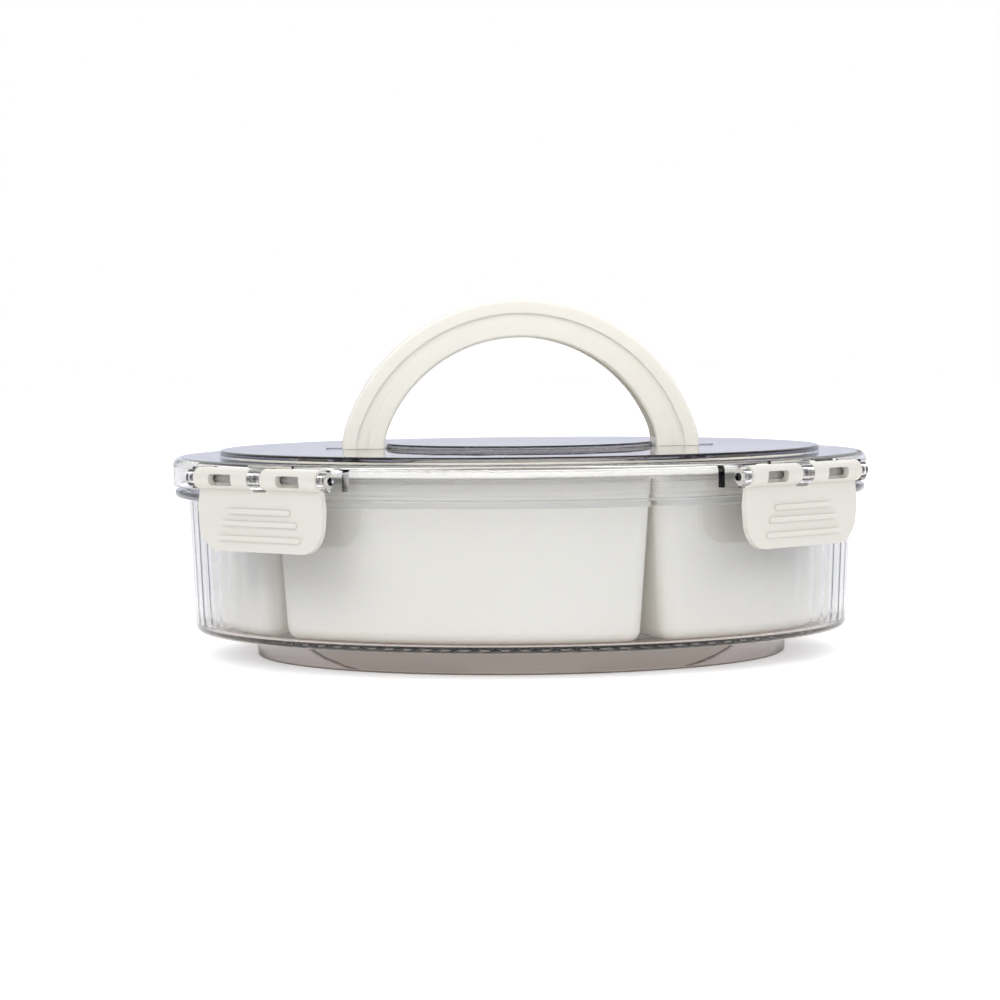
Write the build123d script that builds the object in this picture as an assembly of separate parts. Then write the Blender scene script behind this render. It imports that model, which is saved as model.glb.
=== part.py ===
from build123d import *
import math
import os

os.makedirs("parts", exist_ok=True)

# Overall sizes. Z = 0 is the table, the centre of the round box is X = Y = 0, the front is -Y.
LID_RADIUS = 136.0            # outside of the lid's skirt
BODY_HEIGHT = 65.4            # table to the top of the bowl's flange
TRAY_COUNT = 5
TRAY_TURN = 57.1              # turn of the first tray's middle from the front, degrees
CLIP_TURNS = {"front_right": 45.0, "back_right": 135.0, "back_left": -135.0, "front_left": -45.0}

# Clearances
SEAT = 0.3                    # between pieces that rest on or plug into each other
SIDE_GAP = 0.3                # on each side of the line between two trays at their rims
PIN_FREE = 0.06               # radial, clip on its pin
PIN_HELD = 0.04               # radial, pin in the lid's lugs

# Outer bowl
SHELL = 2.2                   # wall and floor of the bowl
FLANGE_RADIUS = LID_RADIUS - 0.75
FLANGE_THICK = 2.8
WALL_INSET = 6.8              # outside of the wall inside the lid's edge, under the flange
WALL_DRAFT = 2.4              # how much smaller the outside is at the floor
RIM_HEIGHT = 7.6              # rim standing above the flange
FOOT_HEIGHT = 10.0
FOOT_INSET = 25.4             # foot ring inside the wall
FOOT_THICK = 2.4

# Lid
SHEET = 2.0                   # thickness of the lid
SKIRT_GAP = 1.6               # skirt's lower edge above the bowl's flange
SKIRT_DEPTH = 9.0             # skirt below the lid's brim
STEP_INSET = 18.3             # raised middle of the lid inside its edge
STEP_HEIGHT = 2.4
DISC_GAP = 0.6                # round centre panel to the handle's feet
DISC_HEIGHT = 1.8
LIP_THICK = 1.3               # thin lip inside the bowl's rim
LIP_DEPTH = 5.0
SEAL_THICK = 2.4

# Trays and the dip bowl in the middle
TRAY_HEADROOM = 0.5           # trays under the lid's brim
TRAY_RIM_GAP = 0.8            # trays inside the lid's lip
TRAY_WALL = 1.6
TRAY_FLOOR = 2.0
TRAY_OUTER_DRAFT = 2.6        # degrees, wall beside the bowl
TRAY_SIDE_DRAFT = 3.6         # degrees, walls beside the next trays
TRAY_INNER_DRAFT = 5.2        # degrees, wall beside the dip bowl
TRAY_OUTER_CORNER = 6.2
TRAY_INNER_CORNER = 10.0
TRAY_EDGE = 4.6               # rounding round the bottom
DIP_RADIUS = 40.0
DIP_BASE_RADIUS = 31.0
DIP_WALL = 2.0
DIP_FOOT = 1.6

# Handle
HANDLE_OUTER = 72.0           # radius of the arch's outside
HANDLE_INNER = 55.5           # radius of the arch's inside
HANDLE_RISE = 57.7            # handle above the lid's raised middle
HANDLE_THICK = 14.8           # at the top of the arch
HANDLE_DEPTH = 32.0           # front to back
HANDLE_EDGE = 1.2             # rounding of its long edges
HANDLE_SKIN = 2.8
HANDLE_RIM = 5.3              # raised border of the handle's two faces
HANDLE_TRACK = 5.3            # shallow track between the borders
TRACK_DEPTH = 1.0
FOOT_PLATE = 3.0
FOOT_GAP = 0.1                # feet above the lid
LEG_STRAIGHT = 4.0            # straight lower end of each leg
LEG_BLEND = 22.0              # radius between the arch and its straight legs
PAD_HEIGHT = 0.5              # low pad of the lid that each foot straddles
PAD_HALF = 8.6
PAD_REACH = 6.4               # pad outside the leg
PAD_CORNER = 3.0
STUD_WIDE = 9.0
STUD_LONG = 10.0
BARB = 1.2

# Locking clips
HINGE_OUT = 4.2               # hinge axis outside the skirt
HINGE_DOWN = 3.3              # hinge axis below the brim's underside
KNUCKLE_RADIUS = 4.0
KNUCKLE_HALF = 32.05
CENTRE_LUG = 6.5
LUG_GAP = 0.25
END_LUG = 3.9
PIN_RADIUS = 1.5
PIN_SET_IN = 0.8
CLIP_PLATE = 2.0
PLATE_BACK = 1.4              # back of the plate inside the hinge axis
CLIP_FLARE = 0.95             # plate wider than the knuckles on each side
CLIP_HEIGHT = 26.8            # hinge axis to the clip's lower edge
CLIP_CORNER = 11.0
WINDOW_AT = 17.9
WINDOW_WIDE = 12.0
WINDOW_TALL = 4.2
WINDOW_CORNER = 0.9
WINDOW_DOWN = 0.5             # window below the hinge axis
HOOK_HALF = 20.0
HOOK_TALL = 2.8
HOOK_CATCH = 3.25             # hook under the bowl's flange
RIBS = ((11.9, 33.0), (16.4, 39.6), (21.9, 43.0))   # below the hinge axis, length
RIB_TALL = 1.8
RIB_RAISE = 0.8

# Levels and radii that follow from the sizes above
WALL_TOP_RADIUS = LID_RADIUS - WALL_INSET
FOOT_RADIUS = WALL_TOP_RADIUS - FOOT_INSET
STEP_RADIUS = LID_RADIUS - STEP_INSET
CLIP_HALF = KNUCKLE_HALF + CLIP_FLARE
FLOOR_TOP = FOOT_HEIGHT + SHELL
RIM_TOP = BODY_HEIGHT + RIM_HEIGHT
RIM_OUT = WALL_TOP_RADIUS + 0.3
RIM_IN = RIM_OUT - SHELL - 0.3
SKIRT_BOTTOM = BODY_HEIGHT + SKIRT_GAP
BRIM_UNDER = SKIRT_BOTTOM + SKIRT_DEPTH
BRIM_TOP = BRIM_UNDER + SHEET
PLATEAU = BRIM_TOP + STEP_HEIGHT
DISC_TOP = PLATEAU + DISC_HEIGHT
LIP_OUT = RIM_IN - 0.7
TRAY_RIM_RADIUS = LIP_OUT - LIP_THICK - TRAY_RIM_GAP
TRAY_BASE = FLOOR_TOP + SEAT
TRAY_TOP = BRIM_UNDER - TRAY_HEADROOM
TRAY_HEIGHT = TRAY_TOP - TRAY_BASE
PAD_TOP = PLATEAU + PAD_HEIGHT
ARCH_OUTER_Z = PLATEAU + HANDLE_RISE - HANDLE_OUTER
ARCH_INNER_Z = PLATEAU + HANDLE_RISE - HANDLE_THICK - HANDLE_INNER
FOOT_LEVEL = PLATEAU + FOOT_GAP
SPRING = FOOT_LEVEL + LEG_STRAIGHT
LEG_INNER = math.sqrt(HANDLE_INNER ** 2 - (SPRING - ARCH_INNER_Z) ** 2)
LEG_OUTER = math.sqrt(HANDLE_OUTER ** 2 - (SPRING - ARCH_OUTER_Z) ** 2)
LEG_MIDDLE = (LEG_INNER + LEG_OUTER) / 2
DISC_RADIUS = LEG_INNER - DISC_GAP
HINGE_R = LID_RADIUS + HINGE_OUT
HINGE_Z = BRIM_UNDER - HINGE_DOWN
FLAT_R = HINGE_R - KNUCKLE_RADIUS - 0.7
PLATE_IN = HINGE_R - PLATE_BACK
FLANGE_UNDER = BODY_HEIGHT - FLANGE_THICK
LUG_HALF = KNUCKLE_HALF + LUG_GAP + 0.3 + END_LUG


def turned(points, rounds=()):
    """Solid of revolution about Z from radius-height points, some corners rounded."""
    face = make_face(Polyline(*points, close=True))
    for index, radius in rounds:
        corner = Vector(*points[index])
        near = [v for v in face.vertices() if (Vector(*v.center()) - corner).length < 1e-4]
        face = fillet(near, radius)
    return revolve(Plane.XZ * face, Axis.Z)


def block(x0, x1, y0, y1, z0, z1):
    """Box between two corners."""
    size = Box(x1 - x0, y1 - y0, z1 - z0)
    return Pos((x0 + x1) / 2, (y0 + y1) / 2, (z0 + z1) / 2) * size


def rod(x0, x1, y, z, radius):
    """Cylinder along X between two ends."""
    return Pos((x0 + x1) / 2, y, z) * Rot(0, 90, 0) * Cylinder(radius, x1 - x0)


def base_bowl():
    """Clear outer bowl: foot ring, floor, wall, flange and the rim the lid seals on."""
    wall_low = WALL_TOP_RADIUS - WALL_DRAFT
    points = [
        (0, FOOT_HEIGHT),
        (FOOT_RADIUS - FOOT_THICK, FOOT_HEIGHT),
        (FOOT_RADIUS - FOOT_THICK, 0),
        (FOOT_RADIUS, 0),
        (FOOT_RADIUS, FOOT_HEIGHT),
        (wall_low, FOOT_HEIGHT),
        (WALL_TOP_RADIUS, FLANGE_UNDER),
        (FLANGE_RADIUS, FLANGE_UNDER),
        (FLANGE_RADIUS, BODY_HEIGHT),
        (RIM_OUT, BODY_HEIGHT),
        (RIM_OUT, RIM_TOP),
        (RIM_IN, RIM_TOP),
        (RIM_IN, BODY_HEIGHT),
        (wall_low - SHELL, FLOOR_TOP),
        (0, FLOOR_TOP),
    ]
    rounds = [(2, 0.8), (3, 0.8), (5, 3.0), (7, 1.2), (8, 0.9), (10, 0.8), (11, 0.6), (13, 1.8)]
    return turned(points, rounds)


def fan_outline(rim_radius, inner_radius, gap, outer_corner, inner_corner):
    """Flat fan between two arcs, its middle on +X, its corners rounded."""
    half = 180.0 / TRAY_COUNT
    ring = Circle(rim_radius) - Circle(inner_radius)
    reach = 2 * rim_radius
    corners = [(0, 0), (reach, -reach * math.tan(math.radians(half)))]
    corners.append((reach, reach * math.tan(math.radians(half))))
    shift = gap / math.sin(math.radians(half))
    wedge = Pos(shift, 0) * make_face(Polyline(*corners, close=True))
    fan = ring & wedge
    ranked = fan.vertices().sort_by(lambda v: Vector(*v.center()).length)
    inner = [Vector(*v.center()) for v in ranked[:2]]
    fan = fillet(ranked[2:], outer_corner)
    near = [v for v in fan.vertices() if min((Vector(*v.center()) - p).length for p in inner) < 1e-3]
    return fillet(near, inner_corner)


def tray_level(down, wall):
    """Outline of a tray at a depth below its rim, moved inwards by a wall."""
    outer, side, inner = (
        down * math.tan(math.radians(draft)) + wall
        for draft in (TRAY_OUTER_DRAFT, TRAY_SIDE_DRAFT, TRAY_INNER_DRAFT)
    )
    fan = fan_outline(TRAY_RIM_RADIUS - outer, DIP_RADIUS + 2 * SIDE_GAP + inner, SIDE_GAP + side,
                      TRAY_OUTER_CORNER - wall, TRAY_INNER_CORNER - wall)
    return Pos(0, 0, TRAY_TOP - down) * fan


def sunk(top, depth, wall):
    """Solid between two tray outlines, the edge round its bottom rounded."""
    solid = loft([tray_level(depth, wall), tray_level(top, wall)], ruled=True)
    low = solid.faces().sort_by(Axis.Z)[0]
    return fillet(low.edges(), TRAY_EDGE - wall)


def tray():
    """One fan-shaped tray, its middle on +X."""
    return sunk(0, TRAY_HEIGHT, 0) - sunk(-0.5, TRAY_HEIGHT - TRAY_FLOOR, TRAY_WALL)


def dip_bowl():
    """Round bowl for the dip, standing in the middle of the trays."""
    low = TRAY_BASE + DIP_FOOT
    points = [
        (0, low),
        (DIP_BASE_RADIUS - 6.0, low),
        (DIP_BASE_RADIUS - 6.0, TRAY_BASE),
        (DIP_BASE_RADIUS - 4.0, TRAY_BASE),
        (DIP_BASE_RADIUS - 4.0, low),
        (DIP_BASE_RADIUS, low),
        (DIP_RADIUS, TRAY_TOP),
        (DIP_RADIUS - DIP_WALL, TRAY_TOP),
        (DIP_BASE_RADIUS - DIP_WALL, low + DIP_WALL),
        (0, low + DIP_WALL),
    ]
    return turned(points, [(5, 3.5), (8, 8.0), (6, 0.7), (7, 0.7)])


def lid_shell():
    """Stepped clear cover with skirt, step, centre panel and inner lip."""
    step_in = STEP_RADIUS - SHEET
    disc_in = DISC_RADIUS - SHEET
    lip_in = LIP_OUT - LIP_THICK
    points = [
        (0, DISC_TOP - SHEET),
        (disc_in, DISC_TOP - SHEET),
        (disc_in, PLATEAU - SHEET),
        (step_in, PLATEAU - SHEET),
        (step_in, BRIM_UNDER),
        (lip_in, BRIM_UNDER),
        (lip_in, BRIM_UNDER - LIP_DEPTH),
        (LIP_OUT, BRIM_UNDER - LIP_DEPTH),
        (LIP_OUT, BRIM_UNDER),
        (LID_RADIUS - SHEET, BRIM_UNDER),
        (LID_RADIUS - SHEET, SKIRT_BOTTOM),
        (LID_RADIUS, SKIRT_BOTTOM),
        (LID_RADIUS, BRIM_TOP),
        (STEP_RADIUS, BRIM_TOP),
        (STEP_RADIUS, PLATEAU),
        (DISC_RADIUS, PLATEAU),
        (DISC_RADIUS, DISC_TOP),
        (0, DISC_TOP),
    ]
    rounds = [(9, 1.2), (11, 0.6), (12, 3.4), (14, 0.9), (16, 0.8)]
    return turned(points, rounds)


def hinge_lug(x0, x1, back, front):
    """Clear lug that holds a clip's pin, rounded about the pin."""
    arm = block(x0, x1, -HINGE_R, -back, HINGE_Z - KNUCKLE_RADIUS, HINGE_Z + KNUCKLE_RADIUS)
    nose = rod(x0, x1, -HINGE_R, HINGE_Z, front)
    return arm + nose


def hinge_place(lid):
    """Cut the lid flat behind a clip's knuckles at the front and add the three lugs."""
    half = LUG_HALF - END_LUG
    far = LID_RADIUS + 5
    lid = lid - block(-half, half, -far, -FLAT_R, SKIRT_BOTTOM - 1, BRIM_TOP + 1)
    chord = math.sqrt(LID_RADIUS ** 2 - FLAT_R ** 2)
    lid = lid + block(-chord, chord, -FLAT_R, -FLAT_R + SHEET, SKIRT_BOTTOM, BRIM_TOP - 0.6)
    side = CENTRE_LUG / 2
    lid = lid + hinge_lug(-side, side, FLAT_R - SHEET / 2, KNUCKLE_RADIUS)
    back = math.sqrt((LID_RADIUS - SHEET) ** 2 - half ** 2)
    lid = lid + hinge_lug(half, LUG_HALF, back, KNUCKLE_RADIUS - 0.6)
    lid = lid + hinge_lug(-LUG_HALF, -half, back, KNUCKLE_RADIUS - 0.6)
    return lid - rod(-LUG_HALF - 1, LUG_HALF + 1, -HINGE_R, HINGE_Z, PIN_RADIUS + PIN_HELD)


def lid():
    """Clear lid with its hinge lugs, the pads under the handle and their stud holes."""
    shell = lid_shell()
    for turn in CLIP_TURNS.values():
        shell = Rot(0, 0, turn) * hinge_place(Rot(0, 0, -turn) * shell)
    near = DISC_RADIUS - SHEET / 2
    far = LEG_OUTER + PAD_REACH
    low = PLATEAU - SHEET / 2
    flat = RectangleRounded(far - near, 2 * PAD_HALF, PAD_CORNER)
    for side in (-1, 1):
        shell = shell + Pos(side * (near + far) / 2, 0, low) * extrude(flat, PAD_TOP - low)
        hole = Box(STUD_WIDE + 2 * SEAT, STUD_LONG + 2 * SEAT, 20)
        shell = shell - Pos(side * LEG_MIDDLE, 0, PLATEAU) * hole
    return shell


def lid_seal():
    """Soft ring between the bowl's rim and the lid's brim."""
    low = RIM_TOP + SEAT
    high = BRIM_UNDER - SEAT
    inner = LIP_OUT + SEAT
    points = [(inner, low), (RIM_OUT + 1.0, low), (RIM_OUT + 1.0, high), (inner, high)]
    return turned(points, [(0, 0.6), (1, 0.6)])


def bow(radius, centre, low):
    """Arched shape: an arc above, and straight sides that blend into it and go down to low."""
    half = math.sqrt(radius ** 2 - (SPRING - centre) ** 2)
    above = Pos(0, SPRING + 100) * Rectangle(400, 200)
    sides = Pos(0, (SPRING + low) / 2) * Rectangle(2 * half, SPRING - low)
    shape = (Pos(0, centre) * Circle(radius) & above) + sides
    kinks = [v for v in shape.vertices() if abs(v.Y - SPRING) < 1e-3]
    return fillet(kinks, LEG_BLEND)


def arch(outer_radius, inner_radius, depth):
    """Arch in the XZ plane, down to the handle's feet."""
    outside = bow(outer_radius, ARCH_OUTER_Z, FOOT_LEVEL)
    inside = bow(inner_radius, ARCH_INNER_Z, FOOT_LEVEL - 1)
    return extrude(Plane.XZ * (outside - inside), depth / 2, both=True)


def handle():
    """Arch handle, a channel open on its inside, with a stud under each foot."""
    body = arch(HANDLE_OUTER, HANDLE_INNER, HANDLE_DEPTH)
    rims = body.edges().filter_by(GeomType.CIRCLE)
    body = fillet(rims, HANDLE_EDGE)
    hollow = Plane.XZ * bow(HANDLE_OUTER - HANDLE_SKIN, ARCH_OUTER_Z, FOOT_LEVEL)
    hollow = extrude(hollow, HANDLE_DEPTH / 2 - HANDLE_SKIN, both=True)
    body = body - (hollow - block(-100, 100, -50, 50, 0, FOOT_LEVEL + FOOT_PLATE))
    track = arch(HANDLE_OUTER - HANDLE_RIM, HANDLE_OUTER - HANDLE_RIM - HANDLE_TRACK, 2)
    face = HANDLE_DEPTH / 2 - TRACK_DEPTH + 1
    body = body - Pos(0, face, 0) * track - Pos(0, -face, 0) * track
    notch = PAD_HALF + SEAT
    body = body - block(-100, 100, -notch, notch, 0, PAD_TOP + FOOT_GAP)
    under = PLATEAU - SHEET - SEAT
    for side in (-1, 1):
        stud = block(-STUD_WIDE / 2, STUD_WIDE / 2, -STUD_LONG / 2, STUD_LONG / 2,
                     under - 1.6, FOOT_LEVEL + FOOT_PLATE / 2)
        barbs = block(-STUD_WIDE / 2, STUD_WIDE / 2, -STUD_LONG / 2 - BARB, STUD_LONG / 2 + BARB,
                      under - 1.6, under)
        body = body + Pos(side * LEG_MIDDLE, 0, 0) * (stud + barbs)
    return body


def clip_plate():
    """Flat plate of a clip, its lower corners well rounded."""
    low = HINGE_Z - CLIP_HEIGHT
    high = HINGE_Z + 1.0
    neck = HINGE_Z - KNUCKLE_RADIUS - 0.5
    outline = make_face(Polyline(
        (-CLIP_HALF + 1.5, low), (CLIP_HALF - 1.5, low), (CLIP_HALF, low + 0.6 * CLIP_HEIGHT),
        (KNUCKLE_HALF, neck), (KNUCKLE_HALF, high), (-KNUCKLE_HALF, high), (-KNUCKLE_HALF, neck),
        (-CLIP_HALF, low + 0.6 * CLIP_HEIGHT), close=True))
    corners = outline.vertices().group_by(Axis.Y)[0]
    outline = fillet(corners, CLIP_CORNER)
    return Pos(0, -PLATE_IN, 0) * extrude(Plane.XZ * outline, CLIP_PLATE)


def clip():
    """Locking clip at the front: knuckles, plate with three ribs, and the hook."""
    body = clip_plate() + rod(-KNUCKLE_HALF, KNUCKLE_HALF, -HINGE_R, HINGE_Z, KNUCKLE_RADIUS)
    for down, length in RIBS:
        rib = extrude(Plane.XZ * SlotOverall(length, RIB_TALL), RIB_RAISE + 0.5)
        body = body + Pos(0, -PLATE_IN - CLIP_PLATE + 0.5, HINGE_Z - down) * rib
    hook_high = FLANGE_UNDER - SEAT
    tip = FLANGE_RADIUS - HOOK_CATCH
    body = body + block(-HOOK_HALF, HOOK_HALF, -PLATE_IN - 0.5, -tip, hook_high - HOOK_TALL, hook_high)
    side = CENTRE_LUG / 2 + LUG_GAP
    reach = KNUCKLE_RADIUS + 0.8
    body = body - block(-side, side, -HINGE_R - 10, -HINGE_R + 10, HINGE_Z - reach, HINGE_Z + 10)
    window = extrude(Plane.XZ * RectangleRounded(WINDOW_WIDE, WINDOW_TALL, WINDOW_CORNER), 10)
    for at in (-WINDOW_AT, WINDOW_AT):
        body = body - Pos(at, -HINGE_R, HINGE_Z - WINDOW_DOWN) * window
    return body - rod(-60, 60, -HINGE_R, HINGE_Z, PIN_RADIUS + PIN_FREE)


def clip_pin():
    """Clear rod that a clip turns on."""
    half = LUG_HALF - PIN_SET_IN
    return rod(-half, half, -HINGE_R, HINGE_Z, PIN_RADIUS)


export_step(base_bowl(), "parts/base_bowl.step")
export_step(dip_bowl(), "parts/dip_bowl.step")
export_step(lid(), "parts/lid.step")
export_step(lid_seal(), "parts/lid_seal.step")
export_step(handle(), "parts/handle.step")

one_tray = tray()
for index in range(TRAY_COUNT):
    turn = TRAY_TURN - 90 + index * 360 / TRAY_COUNT
    export_step(Rot(0, 0, turn) * one_tray, f"parts/tray_{index + 1}.step")

one_clip = clip()
one_pin = clip_pin()
for place, turn in CLIP_TURNS.items():
    export_step(Rot(0, 0, turn) * one_clip, f"parts/clip_{place}.step")
    export_step(Rot(0, 0, turn) * one_pin, f"parts/pin_{place}.step")
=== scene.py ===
import math

import bmesh
import bpy
import numpy as np
from mathutils import Matrix, Vector


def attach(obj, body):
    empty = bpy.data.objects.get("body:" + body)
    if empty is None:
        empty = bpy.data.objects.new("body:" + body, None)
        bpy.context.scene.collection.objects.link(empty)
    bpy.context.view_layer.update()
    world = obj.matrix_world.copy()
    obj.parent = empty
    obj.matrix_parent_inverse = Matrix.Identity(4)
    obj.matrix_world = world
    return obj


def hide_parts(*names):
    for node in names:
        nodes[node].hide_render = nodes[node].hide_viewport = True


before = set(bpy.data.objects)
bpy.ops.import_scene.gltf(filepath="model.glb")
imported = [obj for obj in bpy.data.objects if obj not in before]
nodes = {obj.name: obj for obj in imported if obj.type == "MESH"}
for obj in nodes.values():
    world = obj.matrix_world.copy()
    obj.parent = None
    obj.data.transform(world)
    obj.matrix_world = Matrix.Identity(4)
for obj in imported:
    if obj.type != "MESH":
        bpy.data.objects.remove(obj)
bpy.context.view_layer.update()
scene = bpy.context.scene

MM = 0.001

# Camera, in metres from the object's origin
CAMERA_DISTANCE = 1.40426
CAMERA_HEIGHT = 0.12849
CAMERA_TURN = math.radians(-2.5)
CAMERA_ROLL = 0.00974         # radians
AIM_LEFT = 0.005548536        # tangents of the aim, from straight ahead
AIM_DOWN = 0.04931907
LENS, SENSOR = 128.37, 36.0   # millimetres


def make_camera():
    """Camera as high as the handle, slightly rolled and aimed a little down."""
    right = Vector((math.cos(CAMERA_TURN), math.sin(CAMERA_TURN), 0))
    ahead = Vector((-math.sin(CAMERA_TURN), math.cos(CAMERA_TURN), 0))
    up = Vector((0, 0, 1))
    place = -ahead * CAMERA_DISTANCE + up * CAMERA_HEIGHT
    look = (ahead - right * AIM_LEFT - up * AIM_DOWN).normalized()
    level = math.cos(CAMERA_ROLL) * right - math.sin(CAMERA_ROLL) * up
    across = (level - look * level.dot(look)).normalized()
    above = across.cross(look)
    data = bpy.data.cameras.new("camera")
    data.lens = LENS
    data.sensor_width = SENSOR
    data.clip_start, data.clip_end = 0.05, 50
    camera = bpy.data.objects.new("camera", data)
    scene.collection.objects.link(camera)
    turn = Matrix((across, above, -look)).transposed().to_4x4()
    camera.matrix_world = Matrix.Translation(place) @ turn
    scene.camera = camera


make_camera()
scene.view_settings.view_transform = "Standard"


def new_material(name):
    """Empty node material with its output and a Principled shader."""
    material = bpy.data.materials.new(name)
    material.use_nodes = True
    tree = material.node_tree
    tree.nodes.clear()
    output = tree.nodes.new("ShaderNodeOutputMaterial")
    shader = tree.nodes.new("ShaderNodeBsdfPrincipled")
    tree.links.new(shader.outputs["BSDF"], output.inputs["Surface"])
    return material, tree, shader


NOISE_LOW, NOISE_HIGH = 0.3, 0.7  # most of a noise lies between these


def noise(tree, scale, detail=3.0):
    """Noise over the object's own coordinates."""
    place = tree.nodes.new("ShaderNodeTexCoord")
    texture = tree.nodes.new("ShaderNodeTexNoise")
    texture.inputs["Scale"].default_value = scale
    texture.inputs["Detail"].default_value = detail
    tree.links.new(place.outputs["Object"], texture.inputs["Vector"])
    return texture.outputs["Fac"]


def ramp(tree, source, low, high, start=NOISE_LOW, end=NOISE_HIGH):
    """Colour ramp between two colours."""
    node = tree.nodes.new("ShaderNodeValToRGB")
    node.color_ramp.elements[0].position = start
    node.color_ramp.elements[1].position = end
    node.color_ramp.elements[0].color = (*low, 1)
    node.color_ramp.elements[1].color = (*high, 1)
    tree.links.new(source, node.inputs["Fac"])
    return node.outputs["Color"]


def spread(tree, source, low, high):
    """Noise turned into a value between two limits."""
    node = tree.nodes.new("ShaderNodeMapRange")
    node.inputs["From Min"].default_value = NOISE_LOW
    node.inputs["From Max"].default_value = NOISE_HIGH
    node.inputs["To Min"].default_value = low
    node.inputs["To Max"].default_value = high
    tree.links.new(source, node.inputs["Value"])
    return node.outputs["Result"]


def mixed(tree, factor, first, second, blend="MIX"):
    """Two colours mixed. Each input is another node's output or a fixed value."""
    node = tree.nodes.new("ShaderNodeMix")
    node.data_type = "RGBA"
    node.blend_type = blend
    colours = [socket for socket in node.inputs if socket.type == "RGBA"]
    for value, socket in zip((factor, first, second), (node.inputs["Factor"], *colours)):
        if isinstance(value, bpy.types.NodeSocket):
            tree.links.new(value, socket)
        elif isinstance(value, tuple):
            socket.default_value = (*value, 1)
        else:
            socket.default_value = value
    return next(socket for socket in node.outputs if socket.type == "RGBA")


def bump(tree, shader, source, strength, distance):
    """Bump on the shader's normal."""
    node = tree.nodes.new("ShaderNodeBump")
    node.inputs["Strength"].default_value = strength
    node.inputs["Distance"].default_value = distance
    tree.links.new(source, node.inputs["Height"])
    tree.links.new(node.outputs["Normal"], shader.inputs["Normal"])


LIGHT_REACH = (1.0, 0.85, 0.6)    # how far red, green and blue travel inside, as shares of
REACH_SCALE = 0.004               # this many metres
GRAIN_STRENGTH, GRAIN_DEPTH = 0.25, 0.00004
WAVE_STRENGTH, WAVE_DEPTH = 0.2, 0.00015


def moulded(name, low, high, rough_low, rough_high, grain, glow=0.0):
    """Moulded plastic with a faint mottle, a fine grain, uneven gloss and a share of light let in."""
    material, tree, shader = new_material(name)
    tree.links.new(ramp(tree, noise(tree, 14, 2), low, high), shader.inputs["Base Color"])
    tree.links.new(spread(tree, noise(tree, 60, 3), rough_low, rough_high), shader.inputs["Roughness"])
    shader.inputs["IOR"].default_value = 1.5
    shader.inputs["Subsurface Weight"].default_value = glow
    shader.inputs["Subsurface Radius"].default_value = LIGHT_REACH
    shader.inputs["Subsurface Scale"].default_value = REACH_SCALE
    bump(tree, shader, noise(tree, grain, 2), GRAIN_STRENGTH, GRAIN_DEPTH)
    return material


LAMP_SHARE = (0.97, 0.97, 0.97)   # of lamplight, let through by each surface of clear plastic


def clear(name, low, high, rough_low, rough_high, ior, wave, tint, density):
    """Clear plastic: darker with depth, faintly waved, and letting the lamps through."""
    material, tree, shader = new_material(name)
    tree.links.new(ramp(tree, noise(tree, 9, 2), low, high), shader.inputs["Base Color"])
    tree.links.new(spread(tree, noise(tree, 35, 3), rough_low, rough_high), shader.inputs["Roughness"])
    shader.inputs["IOR"].default_value = ior
    shader.inputs["Transmission Weight"].default_value = 1.0
    bump(tree, shader, noise(tree, wave, 2), WAVE_STRENGTH, WAVE_DEPTH)
    output = next(n for n in tree.nodes if n.type == "OUTPUT_MATERIAL")
    path = tree.nodes.new("ShaderNodeLightPath")
    open_way = tree.nodes.new("ShaderNodeBsdfTransparent")
    open_way.inputs["Color"].default_value = (*LAMP_SHARE, 1)
    mix = tree.nodes.new("ShaderNodeMixShader")
    tree.links.new(path.outputs["Is Shadow Ray"], mix.inputs["Fac"])
    tree.links.new(shader.outputs["BSDF"], mix.inputs[1])
    tree.links.new(open_way.outputs["BSDF"], mix.inputs[2])
    tree.links.new(mix.outputs["Shader"], output.inputs["Surface"])
    depth = tree.nodes.new("ShaderNodeVolumeAbsorption")
    depth.inputs["Color"].default_value = (*tint, 1)
    depth.inputs["Density"].default_value = density
    tree.links.new(depth.outputs["Volume"], output.inputs["Volume"])
    return material


# What clear plastic takes on with depth (LILAC, GREY) and the two tints of its surface
LILAC = (0.62, 0.64, 0.72)
GREY = (0.66, 0.65, 0.68)
PALE = (0.985, 0.986, 0.99)
PALER = (0.995, 0.995, 0.998)
CLEAR_BOWL = clear("clear_bowl", PALE, PALER, 0.0, 0.02, 1.5, 55, LILAC, 62)
CLEAR_LID = clear("clear_lid", PALE, PALER, 0.0, 0.02, 1.4, 45, GREY, 28)
CLEAR_PIN = clear("clear_pin", PALE, PALER, 0.05, 0.12, 1.4, 120, GREY, 10)
SILICONE = moulded("silicone", (0.80, 0.785, 0.745), (0.84, 0.83, 0.79), 0.4, 0.5, 300, 0.3)
# Painted shade: the clips' ivory is darker than their real plastic, to offset the stronger light they
# get outside the clear bowl.
IVORY_PAINTED_SHADE = moulded("ivory", (0.65, 0.625, 0.565), (0.675, 0.655, 0.60), 0.3, 0.42, 900)
CREAM = moulded("cream", (0.81, 0.785, 0.71), (0.835, 0.815, 0.75), 0.3, 0.42, 900, 0.3)
# Painted light: the trays' and dip bowl's white is lighter than their real plastic, to offset the shade
# they get inside the clear bowl.
WHITE_PAINTED_LIGHT = moulded("white", (0.925, 0.90, 0.80), (0.945, 0.925, 0.835), 0.30, 0.34, 700, 0.2)

PAINT = {
    "base_bowl": CLEAR_BOWL,
    "lid": CLEAR_LID,
    "lid_seal": SILICONE,
    "handle": CREAM,
    "dip_bowl": WHITE_PAINTED_LIGHT,
}
for name, node in nodes.items():
    if name.startswith("tray"):
        material = WHITE_PAINTED_LIGHT
    elif name.startswith("clip"):
        material = IVORY_PAINTED_SHADE
    elif name.startswith("pin"):
        material = CLEAR_PIN
    else:
        material = PAINT[name]
    node.data.materials.clear()
    node.data.materials.append(material)


SHARP = math.radians(35)      # edges sharper than this stay sharp


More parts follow.
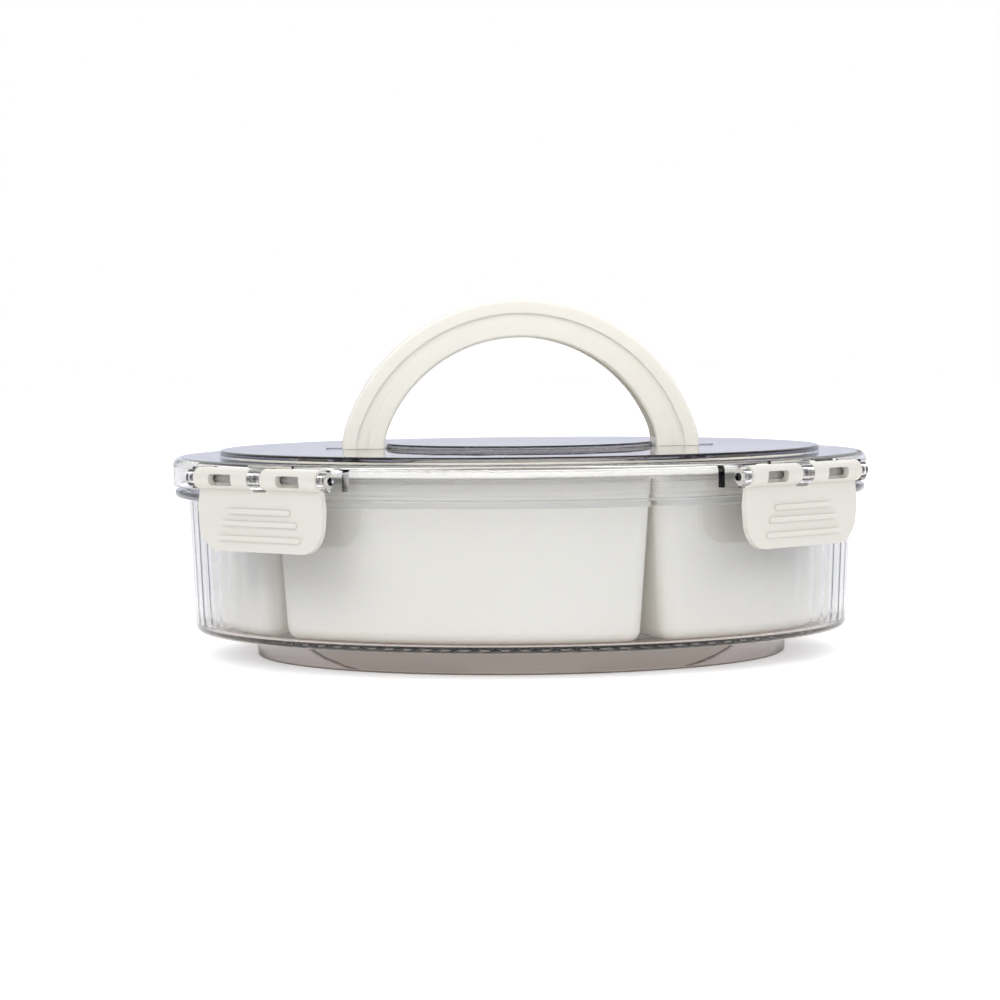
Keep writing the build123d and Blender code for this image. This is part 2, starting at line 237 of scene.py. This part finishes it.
def rounded(points, radii, steps=5):
    """Outline through the points with its corners rounded, as a list of (radius, height)."""
    made = []
    for index, corner in enumerate(points):
        radius = radii.get(index, 0)
        if not radius:
            made.append(corner)
            continue
        corner = np.array(corner, float)
        before = np.array(points[index - 1], float) - corner
        after = np.array(points[(index + 1) % len(points)], float) - corner
        before /= np.linalg.norm(before)
        after /= np.linalg.norm(after)
        half = math.acos(np.clip(before @ after, -1, 1)) / 2
        centre = corner + (before + after) / np.linalg.norm(before + after) * radius / math.sin(half)
        start = corner + before * radius / math.tan(half) - centre
        end = corner + after * radius / math.tan(half) - centre
        sweep = math.pi - 2 * half
        for step in range(steps + 1):
            t = step / steps
            point = (math.sin((1 - t) * sweep) * start + math.sin(t * sweep) * end) / math.sin(sweep)
            made.append(tuple(centre + point))
    return made


def link_mesh(name, verts, faces, material, body, slot, *replaced):
    """Mesh object that stands for CAD nodes and rides on their body."""
    mesh = bpy.data.meshes.new(name)
    mesh.from_pydata(verts, [], faces)
    mesh.materials.append(material)
    maker = bmesh.new()
    maker.from_mesh(mesh)
    bmesh.ops.recalc_face_normals(maker, faces=maker.faces)
    maker.to_mesh(mesh)
    maker.free()
    mesh.polygons.foreach_set("use_smooth", [True] * len(mesh.polygons))
    mesh.set_sharp_from_angle(angle=SHARP)
    piece = bpy.data.objects.new(name, mesh)
    scene.collection.objects.link(piece)
    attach(piece, body)
    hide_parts(*replaced)
    return piece


def spun(outline, columns, shift):
    """Vertices and faces of an outline spun about Z, each point moved by shift."""
    turns = np.arange(columns) * 2 * math.pi / columns
    verts, rings = [], []
    for radius, height in outline:
        if radius < 1e-6:
            rings.append([len(verts)])
            verts.append((0, 0, height * MM))
            continue
        move_r, move_z = shift(radius, height, turns)
        reach = (radius + move_r) * MM
        level = (height + move_z) * MM
        rings.append(list(range(len(verts), len(verts) + columns)))
        verts += list(zip(reach * np.cos(turns), reach * np.sin(turns), level))
    faces = []
    for a, b in zip(rings, rings[1:]):
        for k in range(columns):
            n = (k + 1) % columns
            if len(a) == 1:
                faces.append((a[0], b[n], b[k]))
            elif len(b) == 1:
                faces.append((a[k], a[n], b[0]))
            else:
                faces.append((a[k], a[n], b[n], b[k]))
    return verts, faces


# Bowl, in millimetres
UNDER, FLOOR = 10.0, 12.2              # heights of the floor's two faces
FOOT_INNER, FOOT_OUTER = 101.4, 103.8
WALL_LOW, WALL_TOP = 127.6, 129.9      # outside of the wall
FLOOR_EDGE = 124.6                     # inside of the wall at the floor
FLANGE = 135.25
FLANGE_UNDER, FLANGE_TOP = 62.6, 65.4
RIM_INNER, RIM_OUTER = 127.0, 129.5
RIM_TOP = 73.0
FLUTES = 78                            # round the inside of the wall
FLUTE_DEPTH = 0.14
FLUTE_FOOT, FLUTE_HEAD = 14.0, 63.0    # heights
FLUTE_ARCH = 5.0                       # height of the arch at each flute's foot
FOOT_FADE, HEAD_FADE = 3.0, 4.0        # lengths over which a flute deepens at its ends
INSIDE_FROM, INSIDE_TO = 13.0, 65.0    # heights of the inside of the wall
INSIDE_WITHIN, INSIDE_LEAN = 125.5, 0.045   # its radius is less than this, growing with height
TEETH = 104                            # under the edge, and bricks in each row
TOOTH_DEPTH = 0.3
TEETH_FROM, TEETH_TO = 106.0, 122.0    # radii
TOOTH_FADE = 3.0
BRICK_LONG = 9.0                       # rows of bricks pressed into the floor
BRICK_HIGH = 0.5
BRICK_FROM, BRICK_TO = 41.0, 122.5     # radii
FLOOR_STEPS, EDGE_STEPS, WALL_STEPS = 56, 12, 14
WALL_RUN = 40.0                        # only the wall has sloping runs longer than this
COLUMNS = TEETH * 6
SAME = 0.01                            # heights closer than this are one


def bowl_outline():
    """Section of the bowl from the middle of its underside to the middle of its floor."""
    under = [(0, UNDER), (FOOT_INNER, UNDER), (FOOT_INNER, 0), (FOOT_OUTER, 0), (FOOT_OUTER, UNDER)]
    side = [(WALL_LOW, UNDER), (WALL_TOP, FLANGE_UNDER), (FLANGE, FLANGE_UNDER), (FLANGE, FLANGE_TOP)]
    rim = [(RIM_OUTER, FLANGE_TOP), (RIM_OUTER, RIM_TOP), (RIM_INNER, RIM_TOP), (RIM_INNER, FLANGE_TOP)]
    inside = [(FLOOR_EDGE, FLOOR), (0, FLOOR)]
    radii = {2: 0.8, 3: 0.8, 5: 2.4, 7: 1.2, 8: 0.9, 10: 0.8, 11: 0.6, 13: 1.8}
    return rounded(under + side + rim + inside, radii)


def divided(outline, want):
    """Outline with its long runs divided where want(run) asks for steps."""
    made = [outline[0]]
    for a, b in zip(outline, outline[1:]):
        steps = want(a, b)
        for step in range(1, steps + 1):
            t = step / steps
            made.append((a[0] + (b[0] - a[0]) * t, a[1] + (b[1] - a[1]) * t))
    return made


def bowl_steps(a, b):
    """How many steps a run of the bowl's section is divided into."""
    level = abs(a[1] - b[1]) < SAME
    if level and abs(a[1] - FLOOR) < SAME:
        return FLOOR_STEPS
    if level and abs(a[1] - UNDER) < SAME and a[0] >= FOOT_OUTER:
        return EDGE_STEPS
    length = math.hypot(b[0] - a[0], b[1] - a[1])
    return WALL_STEPS if length > WALL_RUN and a[1] != b[1] else 1


def smooth(x):
    """Smooth step from 0 to 1."""
    x = np.clip(x, 0, 1)
    return x * x * (3 - 2 * x)


def flute(height, turns):
    """How far out the inside of the wall moves, with arched ends at the floor."""
    wave = np.abs(np.sin(FLUTES * turns / 2))
    foot = smooth((height - FLUTE_FOOT - FLUTE_ARCH * (1 - wave)) / FOOT_FADE)
    head = smooth((FLUTE_HEAD - height) / HEAD_FADE)
    return FLUTE_DEPTH * wave * (foot * head)


def tooth(radius, turns):
    """How far up the underside moves."""
    fade = smooth((radius - TEETH_FROM) / TOOTH_FADE) * smooth((TEETH_TO - radius) / TOOTH_FADE)
    return TOOTH_DEPTH * np.abs(np.sin(TEETH * turns / 2)) * fade


def brick(radius, turns):
    """How far up the floor's upper face moves."""
    row = math.floor((radius - BRICK_FROM) / BRICK_LONG)
    along = (radius - BRICK_FROM) / BRICK_LONG - row
    across = np.abs(np.sin(TEETH * turns / 2 + (row % 2) * math.pi / 2))
    return BRICK_HIGH * across * math.sqrt(max(0.0, math.sin(math.pi * along)))


def bowl_shift(radius, height, turns):
    """Flutes inside the wall, teeth under its edge and bricks pressed into the floor."""
    move_r, move_z = 0 * turns, 0 * turns
    inside = radius < INSIDE_WITHIN + (height - FLOOR) * INSIDE_LEAN
    if inside and INSIDE_FROM < height < INSIDE_TO:
        move_r = flute(height, turns)
    if abs(height - UNDER) < SAME and TEETH_FROM < radius < TEETH_TO:
        move_z = tooth(radius, turns)
    if abs(height - FLOOR) < SAME and BRICK_FROM < radius < BRICK_TO:
        move_z = brick(radius, turns)
    return move_r, move_z


# Painted shade: tan in the bowl's foot and floor, standing in for the shade under the bowl and the
# cream trays seen through it. The real plastic there is clear.
PAINTED_SHADE_TAN = (0.76, 0.70, 0.65)
SHADE_FULL_TO, SHADE_GONE_FROM = 13.0, 15.0        # heights between which the painted shade fades out


def paint_foot_shade(material):
    """Painted shade: tan tint in the clear foot and floor of the bowl, standing in for the shade under
    it.
    """
    tree = material.node_tree
    shader = next(n for n in tree.nodes if n.type == "BSDF_PRINCIPLED")
    upper = shader.inputs["Base Color"].links[0].from_socket
    place = tree.nodes.new("ShaderNodeTexCoord")
    split = tree.nodes.new("ShaderNodeSeparateXYZ")
    tree.links.new(place.outputs["Object"], split.inputs["Vector"])
    height = tree.nodes.new("ShaderNodeMapRange")
    height.inputs["From Min"].default_value = SHADE_FULL_TO * MM
    height.inputs["From Max"].default_value = SHADE_GONE_FROM * MM
    tree.links.new(split.outputs["Z"], height.inputs["Value"])
    colour = mixed(tree, height.outputs["Result"], PAINTED_SHADE_TAN, upper)
    tree.links.new(colour, shader.inputs["Base Color"])


def make_bowl():
    """Clear bowl with its flutes, the teeth under its edge, its patterned floor and painted shade in
    its foot.
    """
    paint_foot_shade(CLEAR_BOWL)
    verts, faces = spun(divided(bowl_outline(), bowl_steps), COLUMNS, bowl_shift)
    link_mesh("bowl", verts, faces, CLEAR_BOWL, "base", "clear_bowl", "base_bowl")


make_bowl()

# Height above the horizon (sine) and colour of the studio. The first two stops are the ends.
SKY = [
    (0.0, (0.66, 0.67, 0.76)),
    (1.0, (1.00, 1.00, 0.99)),
    (0.06, (0.78, 0.80, 0.92)),
    (0.16, (0.66, 0.66, 0.68)),
    (0.34, (1.00, 1.00, 0.99)),
]
# How far to the side (sine) and how much the studio darkens there, ends first
SIDES = [
    (0.0, (1.00, 1.00, 1.00)),
    (1.0, (0.42, 0.43, 0.54)),
    (0.6, (1.00, 1.00, 1.00)),
    (0.9, (0.48, 0.49, 0.60)),
]


def stepped(tree, source, stops):
    """Colour ramp through several stops."""
    shade = tree.nodes.new("ShaderNodeValToRGB")
    for index, (place, colour) in enumerate(stops):
        elements = shade.color_ramp.elements
        stop = elements[index] if index < 2 else elements.new(place)
        stop.position, stop.color = place, (*colour, 1)
    tree.links.new(source, shade.inputs["Fac"])
    return shade.outputs["Color"]


def make_world():
    """Soft white studio, lilac low down and darker at the sides, white to the camera."""
    world = bpy.data.worlds.new("studio")
    scene.world = world
    world.use_nodes = True
    tree = world.node_tree
    tree.nodes.clear()
    output = tree.nodes.new("ShaderNodeOutputWorld")
    place = tree.nodes.new("ShaderNodeTexCoord")
    split = tree.nodes.new("ShaderNodeSeparateXYZ")
    tree.links.new(place.outputs["Generated"], split.inputs["Vector"])
    side = tree.nodes.new("ShaderNodeMath")
    side.operation = "ABSOLUTE"
    tree.links.new(split.outputs["X"], side.inputs[0])
    sky = stepped(tree, split.outputs["Z"], SKY)
    sides = stepped(tree, side.outputs[0], SIDES)
    room = tree.nodes.new("ShaderNodeBackground")
    tree.links.new(mixed(tree, 1.0, sky, sides, "MULTIPLY"), room.inputs["Color"])
    plain = tree.nodes.new("ShaderNodeBackground")
    plain.inputs["Color"].default_value = (1, 1, 1, 1)
    mix = tree.nodes.new("ShaderNodeMixShader")
    path = tree.nodes.new("ShaderNodeLightPath")
    tree.links.new(path.outputs["Is Camera Ray"], mix.inputs["Fac"])
    tree.links.new(room.outputs["Background"], mix.inputs[1])
    tree.links.new(plain.outputs["Background"], mix.inputs[2])
    tree.links.new(mix.outputs["Shader"], output.inputs["Surface"])


def area(name, place, aim, size, power):
    """Large soft light of so many watts."""
    data = bpy.data.lights.new(name, "AREA")
    data.shape = "RECTANGLE"
    data.size, data.size_y = size
    data.energy = power
    light = bpy.data.objects.new(name, data)
    light.location = place
    light.rotation_euler = (Vector(aim) - Vector(place)).to_track_quat("-Z", "Y").to_euler()
    scene.collection.objects.link(light)


FLOOR_RADIUS = 6.0
FLOOR_LOW, FLOOR_HIGH = (0.93, 0.93, 0.93), (0.95, 0.95, 0.95)
CAMERA_GLOW = (0.45, 0.45, 0.45)       # keeps the floor white where the camera sees it
NEAR_GLOW = (0.30, 0.285, 0.27)        # what the object gets from it, near by and far off
FAR_GLOW = (0.0, 0.0, 0.01)
GLOW_NEAR, GLOW_FAR = 0.12, 0.35       # metres


def make_floor():
    """Plain pale floor that glows a little round the object, and evenly to the camera."""
    mesh = bpy.data.meshes.new("floor")
    maker = bmesh.new()
    bmesh.ops.create_circle(maker, cap_ends=True, segments=96, radius=FLOOR_RADIUS)
    maker.to_mesh(mesh)
    maker.free()
    floor = bpy.data.objects.new("floor", mesh)
    scene.collection.objects.link(floor)
    material, tree, shader = new_material("floor")
    tree.links.new(ramp(tree, noise(tree, 2), FLOOR_LOW, FLOOR_HIGH), shader.inputs["Base Color"])
    shader.inputs["Roughness"].default_value = 0.8
    place = tree.nodes.new("ShaderNodeTexCoord")
    away = tree.nodes.new("ShaderNodeVectorMath")
    away.operation = "LENGTH"
    tree.links.new(place.outputs["Object"], away.inputs[0])
    glow = ramp(tree, away.outputs["Value"], NEAR_GLOW, FAR_GLOW, GLOW_NEAR, GLOW_FAR)
    path = tree.nodes.new("ShaderNodeLightPath")
    seen = mixed(tree, path.outputs["Is Camera Ray"], glow, CAMERA_GLOW)
    tree.links.new(seen, shader.inputs["Emission Color"])
    shader.inputs["Emission Strength"].default_value = 1.0
    mesh.materials.append(material)


make_world()
make_floor()
LOW_AIM, HIGH_AIM = (0, 0, 0.06), (0, 0, 0.08)
area("key", (-1.2, -1.6, 1.9), LOW_AIM, (1.6, 1.2), 15)
area("fill", (1.5, -1.0, 1.2), LOW_AIM, (1.4, 1.2), 7)
area("front", (0.0, -2.6, 0.9), HIGH_AIM, (2.4, 1.2), 8.5)
area("back", (0.2, 1.8, 1.6), LOW_AIM, (2.2, 1.2), 6)
